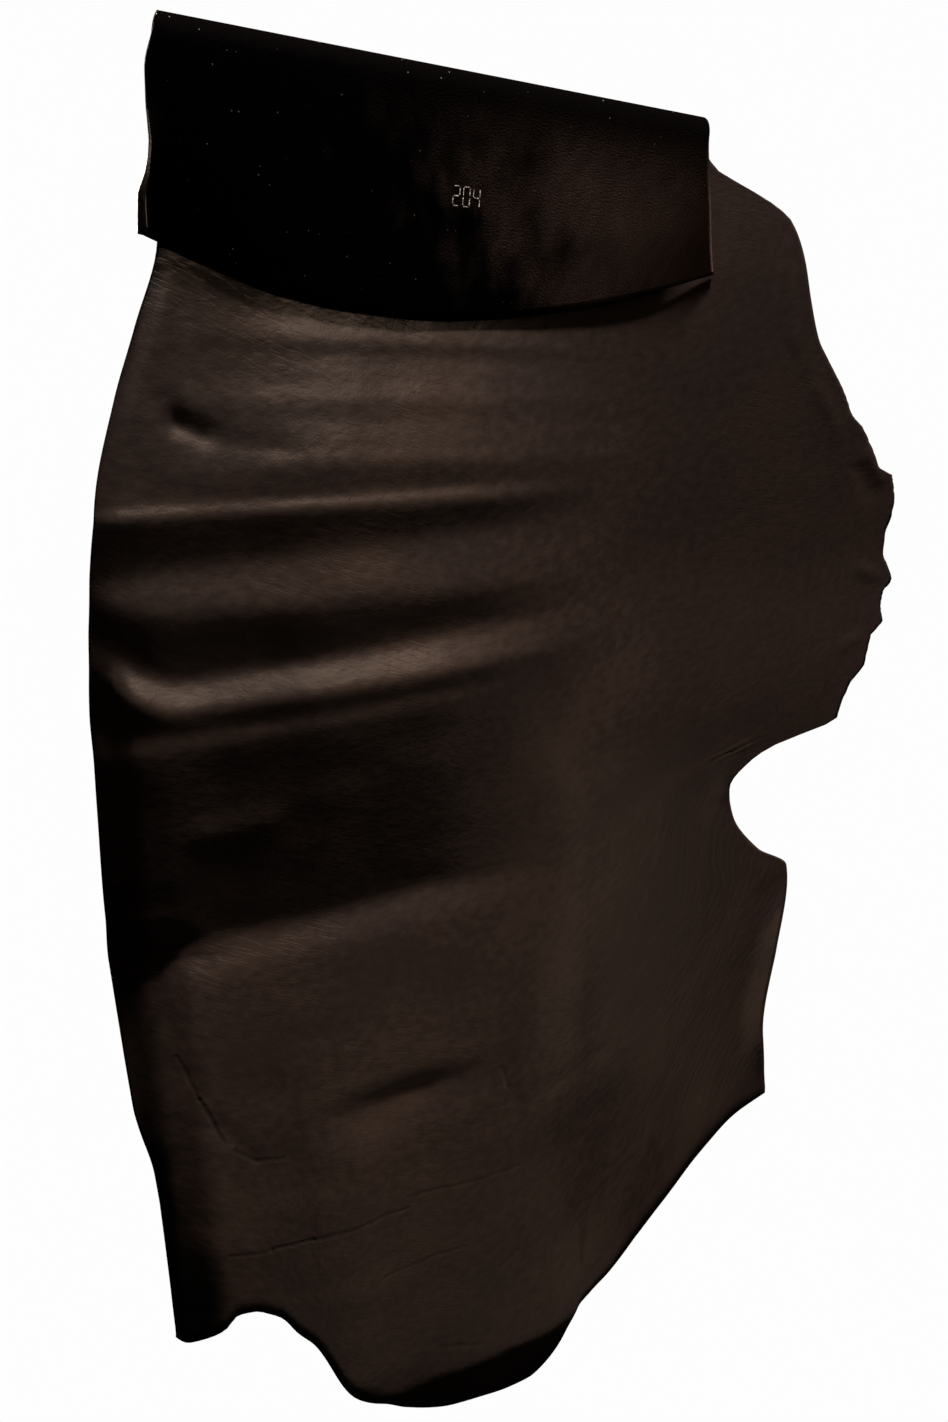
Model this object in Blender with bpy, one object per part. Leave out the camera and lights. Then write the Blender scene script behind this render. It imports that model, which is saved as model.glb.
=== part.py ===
"""A side of leather hung over a rail, as one sheet.

The rail itself is not part of the object.  The short flap hangs in front of the rail and
shows the flesh side.  The long body hangs behind it and shows the grain side.

Frame: metres, +Z up, X along the fold, the flap on the -Y side.  The origin is the middle
of the fold's crest, on the leather's outer face.  Tables and sizes are in millimetres.
"Drop" is a distance below the crest.
"""

import bpy
import bmesh
import numpy as np
from collections import namedtuple

MM = 0.001

# Driving sizes
THICKNESS = 2.0
RAIL_RADIUS = 15.0
LIP = 18.0                  # width of the margin that curls, along the backbone cut
LEAN_DROP = 1.15            # power of the lean's growth down the flap
SPREAD_FROM = 0.58          # share of the body's length below which rows follow the neck
SHANK_CURL_DEPTH = 8.0
SHANK_CURL_REACH = 36.0
CALM_SHARE = 0.45           # share of a row from which the columns spread into the belly

FOLD_RADIUS = RAIL_RADIUS + THICKNESS / 2
RAIL_AXIS = -(FOLD_RADIUS + THICKNESS / 2)   # height of the rail's axis

# Backbone cut of the body, from the fold down: a soft curve
Station = namedtuple("Station", "drop x")
BACKBONE = [
    Station(0, -245), Station(138, -251), Station(200, -272), Station(250, -290),
    Station(320, -309), Station(393, -318), Station(500, -324),
    Station(640, -324), Station(746, -321), Station(868, -317),
    Station(935, -306), Station(1100, -303),
]

# Far edge of the body, from the fold down
SHOULDER = [
    Station(0, 239), Station(36, 279), Station(45, 310), Station(56, 349),
    Station(70, 380), Station(100, 402), Station(145, 420), Station(180, 437),
    Station(200, 455), Station(232, 486), Station(258, 506), Station(270, 524),
    Station(315, 560),
]
BELLY = [                                     # torn teeth: straight from tip to notch
    Station(323, 585), Station(350, 596), Station(375, 593), Station(390, 586),
    Station(418, 587), Station(430, 597), Station(448, 608), Station(460, 591),
    Station(478, 588), Station(497, 593), Station(512, 572), Station(548, 562),
    Station(560, 546), Station(567, 539), Station(590, 525), Station(610, 520),
]
ARMPIT_AND_SHANK = [
    Station(617, 470), Station(624, 421), Station(637, 382), Station(664, 349),
    Station(700, 358), Station(750, 402), Station(783, 454), Station(810, 458),
    Station(890, 441), Station(985, 428), Station(1060, 441),
    Station(1106, 451),
]

# A plain far edge without the belly's teeth, for the columns of the calm middle
PLAIN_EDGE = [
    Station(0, 239), Station(60, 350), Station(150, 430), Station(320, 540),
    Station(450, 540), Station(620, 460), Station(760, 440), Station(1106, 452),
]

# Lower edge, from the backbone corner round the neck to the shank's corner
Corner = namedtuple("Corner", "x drop")
NECK = [
    Corner(-341, 1144), Corner(-323, 1140), Corner(-297, 1123), Corner(-281, 1108),
    Corner(-267, 1109), Corner(-252, 1117), Corner(-239, 1127), Corner(-224, 1150),
    Corner(-207, 1171), Corner(-168, 1251), Corner(-126, 1288), Corner(-98, 1315),
    Corner(-54, 1340), Corner(-3, 1354), Corner(41, 1365), Corner(70, 1365),
    Corner(92, 1352), Corner(107, 1335), Corner(121, 1302), Corner(136, 1279),
    Corner(187, 1260), Corner(271, 1203), Corner(351, 1143), Corner(397, 1116),
    Corner(449, 1102),
]

# Flap: its lower edge, and its two side edges from the fold down
FLAP_HEM = [
    Corner(-262, 138), Corner(-217, 154), Corner(-157, 172), Corner(-100, 180),
    Corner(-29, 183), Corner(20, 180), Corner(130, 164), Corner(190, 151), Corner(280, 127),
]
FLAP_BACKBONE = [
    Station(0, -245), Station(17, -253), Station(40, -259), Station(60, -259),
    Station(80, -261), Station(100, -270), Station(115, -277),
    Station(140, -278),
]
FLAP_BELLY = [
    Station(0, 239), Station(17, 237), Station(40, 243), Station(65, 253),
    Station(99, 266), Station(130, 280),
]

# How far the flap's hem leans back towards the body
Lean = namedtuple("Lean", "x back")
LEANS = [
    Lean(-262, 28), Lean(-100, 28), Lean(20, 28), Lean(110, 27), Lean(200, 27.5),
    Lean(280, 29),
]

# Waves across the body: chains of nearly straight stretches joined by soft bends.  A bend
# lies at drop "left" on the backbone side and "right" nearer the middle.  Below it the
# stretch is tilted, in degrees: plus comes forward on the way down and faces up.  It dies
# away towards x = end over the length "fade", and to the left of x = start over "rise".
# Its left end hooks upwards by "hook".
Bend = namedtuple("Bend", "left right tilt soft start rise end fade hook")
# the main waves, strong at the backbone
BENDS = [
    Bend(160, 184, 4.5, 6, -120, 130, 190, 200, 0),
    Bend(203, 203, -6.5, 4, -150, 200, 190, 150, 0),
    Bend(210, 210, -2.5, 8, -400, 70, 190, 240, 0),
    Bend(325, 316, 17.5, 4, -400, 70, 150, 170, 0),
    Bend(334, 327, -12.5, 4, -400, 70, 190, 200, 0),
    Bend(374, 351, 8.5, 9, -400, 70, 190, 240, 0),
    Bend(412, 408, -13.0, 9, -400, 70, 150, 160, 8),
    Bend(464, 440, 21.0, 7, -292, 22, 190, 240, 22),
    Bend(492, 475, -14.0, 5, -400, 70, 150, 160, 20),
    Bend(510, 493, 2.0, 5, -400, 70, 60, 160, 8),
    Bend(521, 501, -11.0, 5, -400, 70, 150, 240, 0),
    Bend(715, 699, 20.0, 6, -258, 30, 160, 240, 0),
    Bend(746, 729, 5.2, 12, -400, 70, 190, 240, 0),
    Bend(1055, 1031, 1.5, 30, -400, 70, 150, 240, 0),
    Bend(1180, 1180, 0.0, 30, -400, 70, 150, 240, 0),
]
# the full panel under the flap, with its fine folds
BULGE = [
    Bend(191, 188, 5.0, 4, -110, 130, 200, 200, 0),
    Bend(203, 200, 1.5, 4, -110, 130, 200, 200, 0),
    Bend(215, 212, 10.0, 4, -110, 130, 200, 200, 0),
    Bend(229, 226, 8.0, 4, -110, 130, 200, 200, 0),
    Bend(237, 234, 12.5, 4, -110, 190, 250, 290, 0),
    Bend(249, 246, 4.5, 4, -110, 190, 250, 290, 0),
    Bend(264, 261, 10.0, 4, -110, 190, 250, 290, 0),
    Bend(279, 277, 7.0, 4, -110, 190, 250, 290, 0),
    Bend(287, 285, 13.0, 4, -110, 190, 250, 290, 0),
    Bend(298, 296, -3.0, 5, -110, 190, 250, 290, 0),
    Bend(324, 315, 0.0, 4, -110, 190, 250, 290, 0),
]
# the short hollow above the neck
UNDER_HEM = [
    Bend(150, 150, -2.5, 6, -400, 70, -130, 70, 0),
    Bend(203, 203, 0.0, 6, -400, 70, -130, 70, 0),
    Bend(560, 560, 0.95, 12, -400, 70, -130, 70, 0),
    Bend(700, 700, 0.0, 12, -400, 70, -130, 70, 0),
]
HOLLOW = [
    Bend(902, 887, -23.0, 7, -90, 80, 30, 80, 0),
    Bend(920, 909, 9.0, 7, -110, 70, 60, 90, 0),
    Bend(957, 946, 0.0, 12, -110, 70, 60, 90, 0),
]
# the slow sway of the belly side
SWAY = [
    Bend(120, 120, -2.5, 30, 220, 160, 900, 10, 0),
    Bend(425, 425, 5.4, 40, 220, 160, 900, 10, 0),
    Bend(565, 565, 0.0, 40, 220, 160, 900, 10, 0),
]
# the neck, lifting a little towards the shank
NECK_LIFT = [
    Bend(1075, 1060, 3.0, 30, 120, 120, 900, 10, 0),
    Bend(1300, 1300, 0.0, 30, 120, 120, 900, 10, 0),
]
# the lobe at the bottom, turned under
LOBE = [
    Bend(1270, 1274, -15.0, 4, -80, 70, 175, 30, 0),
    Bend(1420, 1420, 0.0, 4, -80, 70, 175, 30, 0),
]
NEAR_X = -200.0             # where the bends lie at "left"
FAR_X = 80.0                # and at "right"
HOOK_FROM = -250.0
HOOK_LENGTH = 45.0

# Curl of the backbone margin: degrees at the cut edge, plus towards the front.  "Place"
# is the distance from the crest, minus on the flap.
Curl = namedtuple("Curl", "place angle")
CURLS = [
    Curl(-138, 160), Curl(-110, 140), Curl(-85, 65), Curl(-60, 12), Curl(0, 0),
    Curl(150, -20), Curl(480, -38), Curl(760, -38), Curl(900, -25), Curl(965, -62),
    Curl(1100, -62),
]

# Lower margin: how far it turns back, and over what height above the edge
Turn = namedtuple("Turn", "x depth reach")
TURNS = [
    Turn(-312, 4, 18), Turn(-200, 4, 20), Turn(-126, 6, 26), Turn(-60, 5, 24),
    Turn(60, 5, 24), Turn(120, 5, 24), Turn(150, 5, 24), Turn(165, 5, 25),
    Turn(240, 9, 38), Turn(330, 8, 34), Turn(452, 2, 15),
]

# Backbone side: how far it falls back at the cut, and over what width
Fall = namedtuple("Fall", "drop depth width")
FALLS = [
    Fall(190, 0, 50), Fall(330, 4, 40), Fall(480, 9, 50), Fall(690, 10, 60),
    Fall(735, 22, 110), Fall(785, 17, 85), Fall(850, 11, 60), Fall(910, 8, 45),
    Fall(960, 9, 50), Fall(1000, 12, 60), Fall(1100, 14, 66),
]

# Mesh: rows from the flap's hem over the fold and down the body
FLAP_ROWS = 8
FOLD_ROWS = 8
RowSpan = namedtuple("RowSpan", "start end step")
BODY_ROWS = [
    RowSpan(17, 107, 18), RowSpan(107, 187, 13), RowSpan(187, 321, 8.4),
    RowSpan(321, 333, 6), RowSpan(333, 453, 10), RowSpan(453, 531, 7.8),
    RowSpan(531, 693, 18), RowSpan(693, 753, 10), RowSpan(753, 1100, 17.4),
]
LIP_COLUMNS = 4
PANEL_COLUMNS = 18


def columns(table):
    """The columns of a table of named rows, as arrays."""
    return np.array(table, dtype=float).T


def soft_curve(table, at):
    """A smooth curve through a table's two columns that never overshoots its points."""
    x, y = columns(table)
    step = np.diff(x)
    slope = np.diff(y) / step
    turns = slope[:-1] * slope[1:] <= 0
    mean = 2 * slope[:-1] * slope[1:] / np.where(turns, 1, slope[:-1] + slope[1:])
    tangent = np.concatenate([slope[:1], np.where(turns, 0, mean), slope[-1:]])
    i = np.clip(np.searchsorted(x, at, side="right") - 1, 0, len(step) - 1)
    q = np.clip((at - x[i]) / step[i], 0, 1)
    return (y[i] * (1 + 2 * q) * (1 - q) ** 2 + y[i + 1] * (3 - 2 * q) * q ** 2
            + step[i] * q * (1 - q) * (tangent[i] * (1 - q) - tangent[i + 1] * q))


def smoothstep(start, end, value):
    """0 before start, 1 after end, and a soft S between."""
    q = np.clip((value - start) / (end - start), 0, 1)
    return q * q * (3 - 2 * q)


def far_edge(drop):
    """x of the body's far edge: soft shoulder, torn belly, soft armpit and shank."""
    belly_drop, belly_x = columns(SHOULDER[-1:] + BELLY)
    x = np.interp(drop, belly_drop, belly_x)
    x = np.where(drop < SHOULDER[-1].drop, soft_curve(SHOULDER, drop), x)
    lower = BELLY[-1:] + ARMPIT_AND_SHANK
    return np.where(drop > BELLY[-1].drop, soft_curve(lower, drop), x)


def neck_edge(share):
    """The lower edge at a share of its own length: x and drop."""
    x, drop = columns(NECK)
    length = np.concatenate([[0], np.cumsum(np.hypot(np.diff(x), np.diff(drop)))])
    where = share * length[-1]
    return (soft_curve(np.stack([length, x]).T, where),
            soft_curve(np.stack([length, drop]).T, where))


def hinge(past, soft):
    """0 before a bend and the distance past it after, turning over about "soft" mm.

    Half of the distance plus the root of its square and the softness squared.
    """
    return 0.5 * (past + np.sqrt(past ** 2 + soft ** 2))


def bent(bends, x, drop):
    """How far back a chain of tilted stretches has gone at a drop, in mm.

    Each bend adds the change of slope there, times the hinge of the distance past it.
    """
    along = (x - NEAR_X) / (FAR_X - NEAR_X)
    hooked = np.clip((HOOK_FROM - x) / HOOK_LENGTH, 0, 1.5) ** 2
    depth = np.zeros_like(x)
    before = np.zeros_like(x)
    for bend in bends:
        lies = bend.left + (bend.right - bend.left) * np.clip(along, -0.5, 1.6)
        lies = lies - bend.hook * hooked
        lives = smoothstep(bend.end, bend.end - bend.fade, x)
        lives = lives * smoothstep(bend.start - bend.rise, bend.start, x)
        slope = -np.tan(np.radians(bend.tilt)) * lives
        depth += (slope - before) * hinge(drop - lies, bend.soft)
        before = slope
    return depth - before * (drop - bends[-1].left)


def wave_depth(x, drop):
    """How far behind the plumb plane the body lies: all the chains together."""
    chains = (BENDS, BULGE, UNDER_HEM, HOLLOW, SWAY, NECK_LIFT, LOBE)
    return sum(bent(chain, x, drop) for chain in chains)


def lower_margin(x, drop, edge):
    """How far the margin above the lower edge turns back, growing as a square."""
    place, depth, reach = columns(TURNS)
    near = 1 - (edge - drop) / np.interp(x, place, reach)
    return np.interp(x, place, depth) * np.clip(near, 0, 1) ** 2


def shank_curl(x, drop, far):
    """How far the shank's margin comes forward, growing as a square towards the edge."""
    near = np.clip(1 - (far - x) / SHANK_CURL_REACH, 0, 1) ** 2
    along = smoothstep(800, 900, drop) * smoothstep(1100, 1010, drop)
    return SHANK_CURL_DEPTH * near * along


def fall_away(inside, drop):
    """How far the backbone side falls back: its width's remaining share to the power 1.5."""
    drop_at, depth, width = columns(FALLS)
    wide = np.interp(drop, drop_at, width)
    return np.interp(drop, drop_at, depth) * np.clip(1 - inside / wide, 0, 1) ** 1.5


def curl_margin(x, y, inward, place):
    """Roll the strip outside the lip line about an upright axis.

    "inward" is the flat distance from the lip line out to each point.  A strip that bends
    by k degrees each millimetre ends sin(k e) / k out and (1 - cos(k e)) / k forward.
    """
    bend = np.radians(np.interp(place, *columns(CURLS))) / LIP
    bend = np.where(np.abs(bend) < 1e-6, 1e-6, bend)
    return x - np.sin(bend * inward) / bend, y - (1 - np.cos(bend * inward)) / bend


def across(left, right):
    """x of each column and its flat distance outside the lip line, for one row."""
    lip = np.linspace(LIP, 0, LIP_COLUMNS + 1)[:-1]
    panel = np.linspace(0, 1, PANEL_COLUMNS + 1)
    start = left + LIP
    x = np.concatenate([np.full(LIP_COLUMNS, start), start + panel * (right - start)])
    return x, np.concatenate([lip, np.zeros(PANEL_COLUMNS + 1)])


def flap_rows():
    """Rows from the flap's hem up to the height of the rail's axis."""
    rows = []
    for share in np.linspace(1, 0, FLAP_ROWS + 1)[:-1]:
        near = -RAIL_AXIS + share * (FLAP_HEM[0].drop + RAIL_AXIS)
        far = -RAIL_AXIS + share * (FLAP_HEM[-1].drop + RAIL_AXIS)
        x, outside = across(soft_curve(FLAP_BACKBONE, near), soft_curve(FLAP_BELLY, far))
        hem = soft_curve(FLAP_HEM, x - outside)
        drop = -RAIL_AXIS + share * (hem + RAIL_AXIS)
        y = -FOLD_RADIUS + soft_curve(LEANS, x) * share ** LEAN_DROP
        x, y = curl_margin(x, y, outside, -drop)
        rows.append(np.stack([x, y, -drop], -1))
    return rows


def fold_rows():
    """Rows over the rail: half a turn from the front to the back."""
    rows = []
    for turn in np.linspace(-90, 90, FOLD_ROWS + 1)[:-1]:
        drop = -RAIL_AXIS - FOLD_RADIUS * np.cos(np.radians(turn))
        left, right = (FLAP_BACKBONE, FLAP_BELLY) if turn < 0 else (BACKBONE, SHOULDER)
        x, outside = across(soft_curve(left, drop), soft_curve(right, drop))
        y = np.full_like(x, FOLD_RADIUS * np.sin(np.radians(turn)))
        rows.append(np.stack([x - outside, y, np.full_like(x, -drop)], -1))
    return rows


def body_rows():
    """Rows down the body.  The lowest ones bend to follow the neck's outline."""
    panel = np.concatenate([np.zeros(LIP_COLUMNS), np.linspace(0, 1, PANEL_COLUMNS + 1)])
    drops = np.concatenate([
        np.linspace(s.start, s.end, round((s.end - s.start) / s.step) + 1)[:-1]
        for s in BODY_ROWS] + [[BODY_ROWS[-1].end]])
    rows = []
    for drop in drops:
        t = (drop - drops[0]) / (drops[-1] - drops[0])
        far = drop + t * (NECK[-1].drop - drops[-1])
        plain = np.interp(far, *columns(PLAIN_EDGE))
        x, outside = across(soft_curve(BACKBONE, drop), plain)
        x = x + (far_edge(far) - plain) * smoothstep(CALM_SHARE, 1, panel) ** 2
        flat = x - outside
        share = (flat - flat[0]) / (flat[-1] - flat[0])
        neck_x, neck_drop = neck_edge(share)
        spread = np.clip((t - SPREAD_FROM) / (1 - SPREAD_FROM), 0, 1) ** 2
        shift = spread * (neck_x - NECK[0].x - share * (NECK[-1].x - NECK[0].x))
        base = drop + share * (far - drop)
        level = drops[-1] + share * (NECK[-1].drop - drops[-1])
        down = base + spread * (neck_drop - level)
        y = FOLD_RADIUS + wave_depth(flat + shift, down)
        y += lower_margin(flat + shift, down, neck_drop)
        y -= shank_curl(flat, down, flat[-1])
        y += fall_away(flat - flat[0], down)
        x, y = curl_margin(x + shift, y, outside, drop)
        rows.append(np.stack([x, y, -down], -1))
    return rows


def sheet_mesh(name, rows):
    """A single layer of quads through the rows, with its normals out of the fold."""
    points = np.array(rows) * MM
    count, width = points.shape[:2]
    sheet = bmesh.new()
    verts = [sheet.verts.new(point) for point in points.reshape(-1, 3)]
    for row in range(count - 1):
        for column in range(width - 1):
            corner = row * width + column
            sheet.faces.new([verts[corner], verts[corner + 1],
                             verts[corner + width + 1], verts[corner + width]])
    sheet.normal_update()
    mesh = bpy.data.meshes.new(name)
    sheet.to_mesh(mesh)
    sheet.free()
    return mesh


def leather(name):
    """Dark brown leather with a low satin shine."""
    material = bpy.data.materials.new(name)
    material.use_nodes = True
    shader = material.node_tree.nodes["Principled BSDF"]
    shader.inputs["Base Color"].default_value = (0.030, 0.020, 0.014, 1)
    shader.inputs["Roughness"].default_value = 0.5
    shader.inputs["Metallic"].default_value = 0.0
    return material


def build():
    for old in list(bpy.data.objects):
        bpy.data.objects.remove(old, do_unlink=True)
    mesh = sheet_mesh("hide", flap_rows() + fold_rows() + body_rows())
    mesh.materials.append(leather("leather"))
    mesh.shade_smooth()
    hide = bpy.data.objects.new("hide", mesh)
    bpy.context.collection.objects.link(hide)
    solid = hide.modifiers.new("thickness", "SOLIDIFY")
    solid.thickness = THICKNESS * MM
    solid.offset = 0
    solid.use_quality_normals = True


build()
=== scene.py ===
# %% [markdown]
# # A side of leather, hung over a rail
#
# The object is one piece: half a hide, cut along the backbone, thrown over a rail by its
# rump end.  The short flap in front shows the flesh side, the long body behind shows the
# grain side.  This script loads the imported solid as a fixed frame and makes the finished
# surface over it: the waves, creases, curled margins and torn belly edge as real shape,
# and the grain, nap and colour as materials.

# %% Load the frame
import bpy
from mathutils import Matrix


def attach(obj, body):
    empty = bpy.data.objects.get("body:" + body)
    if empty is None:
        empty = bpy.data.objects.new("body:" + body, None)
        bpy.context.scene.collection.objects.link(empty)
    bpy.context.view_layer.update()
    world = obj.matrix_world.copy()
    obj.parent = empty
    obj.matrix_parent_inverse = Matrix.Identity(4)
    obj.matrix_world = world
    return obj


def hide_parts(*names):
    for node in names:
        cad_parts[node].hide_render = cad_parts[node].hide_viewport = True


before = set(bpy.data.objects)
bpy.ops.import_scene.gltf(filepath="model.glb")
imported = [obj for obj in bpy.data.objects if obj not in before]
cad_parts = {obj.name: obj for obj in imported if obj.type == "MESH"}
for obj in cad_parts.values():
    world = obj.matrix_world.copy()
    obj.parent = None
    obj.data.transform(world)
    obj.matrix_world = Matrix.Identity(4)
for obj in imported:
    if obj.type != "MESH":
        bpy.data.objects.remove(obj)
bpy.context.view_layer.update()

# %% Tools of the trade
from collections import namedtuple

import bpy
import numpy as np
from mathutils import Vector

MM = 0.001

# %% [markdown]
# ## Camera
#
# The hide is seen from its backbone side, by someone standing close, with the eye below the
# rail and turned down a little.  A short lens at arm's length gives the strong run of the
# fold towards the right.  The place is stated from the fold's middle, and the direction as
# a turn towards the belly and a tip downwards, which is how a tripod head is set.

# %% Place the camera
CAMERA_IN_FRONT = 0.790
CAMERA_TO_THE_LEFT = 0.4637
CAMERA_BELOW_THE_FOLD = 0.2691
CAMERA_TURN = np.radians(30.57)
CAMERA_TIP = np.radians(15.415)
LENS = 26.076
SENSOR = 36.0

camera_data = bpy.data.cameras.new("camera")
camera_data.sensor_fit = "VERTICAL"
camera_data.sensor_height = SENSOR
camera_data.sensor_width = SENSOR
camera_data.lens = LENS
camera = bpy.data.objects.new("camera", camera_data)
bpy.context.collection.objects.link(camera)
camera.location = (-CAMERA_TO_THE_LEFT, -CAMERA_IN_FRONT, -CAMERA_BELOW_THE_FOLD)
looking = Vector((np.sin(CAMERA_TURN) * np.cos(CAMERA_TIP),
                  np.cos(CAMERA_TURN) * np.cos(CAMERA_TIP), -np.sin(CAMERA_TIP)))
camera.rotation_mode = "QUATERNION"
camera.rotation_quaternion = looking.to_track_quat("-Z", "Y")
bpy.context.scene.camera = camera
print("camera looks along", np.round(looking, 3))

# %% [markdown]
# ## Floor and surroundings
#
# Dark leather only shows its shape if the room around it is darker than its shine.  So the
# pale surroundings are there for the eye alone: the floor and the great round backdrop
# glow softly, and their ray switches keep that glow off the leather.  The light comes from
# lamps instead.

# %% Pale floor and backdrop
FLOOR_DROP = 1.75
FLOOR_RADIUS = 9.0
FLOOR_CENTRE = 0.00001
BACKDROP_FROM = -20
PALE = 0.985


def glowing(name, level):
    """A plain material that glows evenly at one level."""
    material = bpy.data.materials.new(name)
    material.use_nodes = True
    tree = material.node_tree
    tree.nodes.clear()
    glow = tree.nodes.new("ShaderNodeEmission")
    glow.inputs["Color"].default_value = (level, level, level, 1)
    out = tree.nodes.new("ShaderNodeOutputMaterial")
    tree.links.new(glow.outputs[0], out.inputs["Surface"])
    return material


def round_surface(name, radius, heights, sizes, material):
    """A surface turned about the upright axis: rings at "heights", each "sizes" wide."""
    turn = np.linspace(0, 2 * np.pi, 65)[:-1]
    ring = np.stack([np.cos(turn), np.sin(turn)], -1)
    rows = [np.column_stack([ring * radius * size, np.full(len(turn), height)])
            for height, size in zip(heights, sizes)]
    points = np.concatenate(rows)
    row, column = np.meshgrid(np.arange(len(rows) - 1), np.arange(len(turn)), indexing="ij")
    after = (column + 1) % len(turn)
    faces = np.stack([row * len(turn) + column, row * len(turn) + after,
                      (row + 1) * len(turn) + after, (row + 1) * len(turn) + column], -1)
    mesh = bpy.data.meshes.new(name)
    mesh.from_pydata(points, [], faces.reshape(-1, 4))
    mesh.materials.append(material)
    mesh.shade_smooth()
    made = bpy.data.objects.new(name, mesh)
    bpy.context.collection.objects.link(made)
    made.visible_diffuse = False
    made.visible_glossy = False
    made.visible_shadow = False
    return made


pale = glowing("pale", PALE)
round_surface("floor", FLOOR_RADIUS, [-FLOOR_DROP, -FLOOR_DROP], [1, FLOOR_CENTRE], pale)
lift = np.radians(np.linspace(BACKDROP_FROM, 90, 23))
round_surface("backdrop", 3 * FLOOR_RADIUS, 3 * FLOOR_RADIUS * np.sin(lift),
              np.cos(lift), pale)

# %% [markdown]
# ## Light
#
# The waves show because the light rakes down the hanging leather.  A slope that leans out
# towards the viewer catches it, and one that leans under goes black.  So the main light is
# a window-like panel in front and above, a little to the backbone side, whose mirror image
# lies in every slope that leans out.  A narrow strip nearly overhead gives the flat parts
# their even, weaker shine.  Small cards fill in: two low in front for the slopes that lean
# under, one on the floor, and one beside the flap, whose nap shows only in cross light.
# The back panel is for a viewer who walks round.

# %% Lamps
Lamp = namedtuple("Lamp", "name lights right up away wide tall power colour")
LAMPS = [
    Lamp("window_panel", (0.0, 0.0, -0.6), 6, 31, 3.64, 2.4, 1.2, 21, (1.0, 0.70, 0.50)),
    Lamp("overhead_strip", (0.0, 0.0, -0.89), 25, 78, 4.5, 0.8, 0.2, 2250, (1.0, 0.88, 0.84)),
    Lamp("low_card", (0.0, 0.0, -0.96), 9, -19, 1.3, 1.05, 0.25, 0.093, (1.0, 0.70, 0.52)),
    Lamp("side_card", (0.0, 0.0, -0.77), 51, -22, 0.80, 0.30, 0.55, 0.127, (1.0, 0.70, 0.52)),
    Lamp("floor_card", (0.0, 0.0, -0.91), 13, -62, 0.45, 0.56, 0.29, 0.050, (1.0, 0.70, 0.52)),
    Lamp("flap_card", (0.17, 0.0, -0.09), -56, 28, 0.84, 0.50, 0.40, 2.7, (1.0, 0.80, 0.66)),
    Lamp("back_panel", (0.0, 0.0, -0.5), 176, 25, 2.6, 2.0, 2.0, 170, (1.0, 0.86, 0.74)),
]
for lamp in LAMPS:
    data = bpy.data.lights.new(lamp.name, "AREA")
    data.shape = "RECTANGLE"
    data.size = lamp.wide
    data.size_y = lamp.tall
    data.energy = lamp.power
    data.color = lamp.colour
    light = bpy.data.objects.new(lamp.name, data)
    bpy.context.collection.objects.link(light)
    right, up = np.radians(lamp.right), np.radians(lamp.up)
    towards = Vector((np.sin(right) * np.cos(up), -np.cos(right) * np.cos(up), np.sin(up)))
    light.location = Vector(lamp.lights) + lamp.away * towards
    light.rotation_mode = "QUATERNION"
    light.rotation_quaternion = (-towards).to_track_quat("-Z", "Y")
    light.visible_camera = False

ROOM_GLOW = 0.002
world = bpy.data.worlds.new("room")
world.use_nodes = True
world.node_tree.nodes["Background"].inputs["Color"].default_value = (1, 1, 1, 1)
world.node_tree.nodes["Background"].inputs["Strength"].default_value = ROOM_GLOW
bpy.context.scene.world = world
bpy.context.scene.view_settings.view_transform = "Standard"
print(len(LAMPS), "lamps")

# %% [markdown]
# ## The cut
#
# The outline is that of a side: a nearly straight backbone cut, a shoulder, a thin belly
# edge that has torn in teeth, the armpit, the shank and the rounded neck.  Each edge is a
# short table in millimetres, "drop" being the distance below the fold.  A soft curve runs
# through the points, except along the belly, where the teeth are straight.

# %% Tables of the cut
Station = namedtuple("Station", "drop x")
Corner = namedtuple("Corner", "x drop")
BACKBONE = [
    Station(0, -245), Station(138, -251), Station(200, -272), Station(250, -290),
    Station(320, -309), Station(393, -318), Station(500, -324),
    Station(640, -324), Station(746, -321), Station(868, -317),
    Station(935, -306), Station(1100, -303),
]
SHOULDER = [
    Station(0, 239), Station(36, 279), Station(45, 310), Station(56, 349),
    Station(70, 380), Station(100, 402), Station(145, 420), Station(180, 437),
    Station(200, 455), Station(232, 486), Station(258, 506), Station(270, 524),
    Station(315, 560),
]
BELLY = [
    Station(323, 585), Station(350, 596), Station(375, 593), Station(390, 586),
    Station(418, 587), Station(430, 597), Station(448, 608), Station(460, 591),
    Station(478, 588), Station(497, 593), Station(512, 572), Station(548, 562),
    Station(560, 546), Station(567, 539), Station(590, 525), Station(610, 520),
]
ARMPIT_AND_SHANK = [
    Station(617, 470), Station(624, 421), Station(637, 382), Station(664, 349),
    Station(700, 358), Station(750, 402), Station(783, 454), Station(810, 458),
    Station(890, 441), Station(985, 428), Station(1060, 441),
    Station(1106, 451),
]
NECK = [
    Corner(-341, 1144), Corner(-323, 1140), Corner(-297, 1123), Corner(-281, 1108),
    Corner(-267, 1109), Corner(-252, 1117), Corner(-239, 1127), Corner(-224, 1150),
    Corner(-207, 1171), Corner(-168, 1251), Corner(-126, 1288), Corner(-98, 1315),
    Corner(-54, 1340), Corner(-3, 1354), Corner(41, 1365), Corner(70, 1365),
    Corner(92, 1352), Corner(107, 1335), Corner(121, 1302), Corner(136, 1279),
    Corner(187, 1260), Corner(271, 1203), Corner(351, 1143), Corner(397, 1116),
    Corner(449, 1102),
]
FLAP_HEM = [
    Corner(-262, 138), Corner(-217, 154), Corner(-157, 172), Corner(-100, 180),
    Corner(-29, 183), Corner(20, 180), Corner(130, 164), Corner(190, 151), Corner(280, 127),
]
FLAP_BACKBONE = [
    Station(0, -245), Station(17, -253), Station(40, -259), Station(60, -259),
    Station(80, -261), Station(100, -270), Station(115, -277),
    Station(140, -278),
]
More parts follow.
